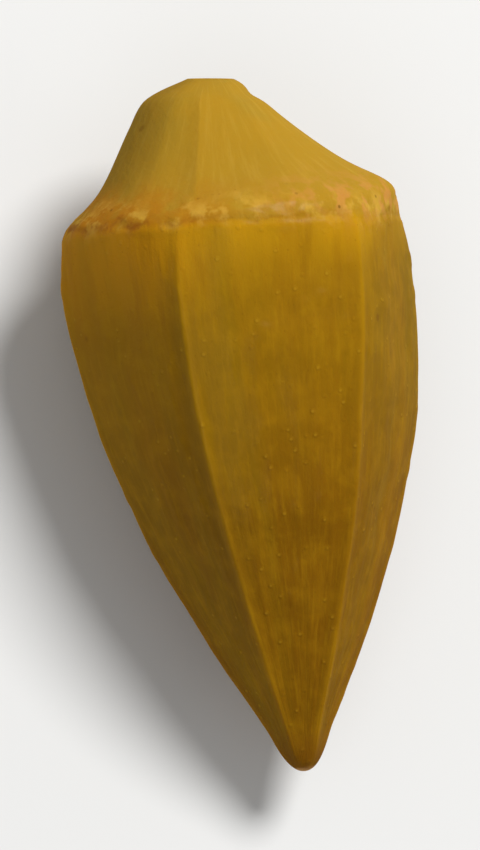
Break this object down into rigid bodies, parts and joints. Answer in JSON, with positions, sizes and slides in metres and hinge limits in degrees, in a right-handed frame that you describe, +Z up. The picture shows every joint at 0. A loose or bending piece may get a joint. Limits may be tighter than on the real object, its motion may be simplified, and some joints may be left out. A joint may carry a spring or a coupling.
{
  "type": "okra pod",
  "caption": "Small pickled okra pod, ridged and tapering to a blunt beak, its stem cap pared to a cone, lying on its side.",
  "frame": {"origin": "on the surface that the pod lies on, below the middle of its bounding box", "axes": "+X along the pod from the cut stem end to the beak, +Z up as it lies, +Y completes a right-handed set"},
  "size_m": [0.0284, 0.0148, 0.014],
  "materials": {
    "okra_skin": "moist waxy pickled skin, yellow-olive on the pared cap and olive-brown on the ridged body, soft sheen"
  },
  "bodies": {
    "root": {"okra_pod": "okra_skin"}
  },
  "joints": []
}
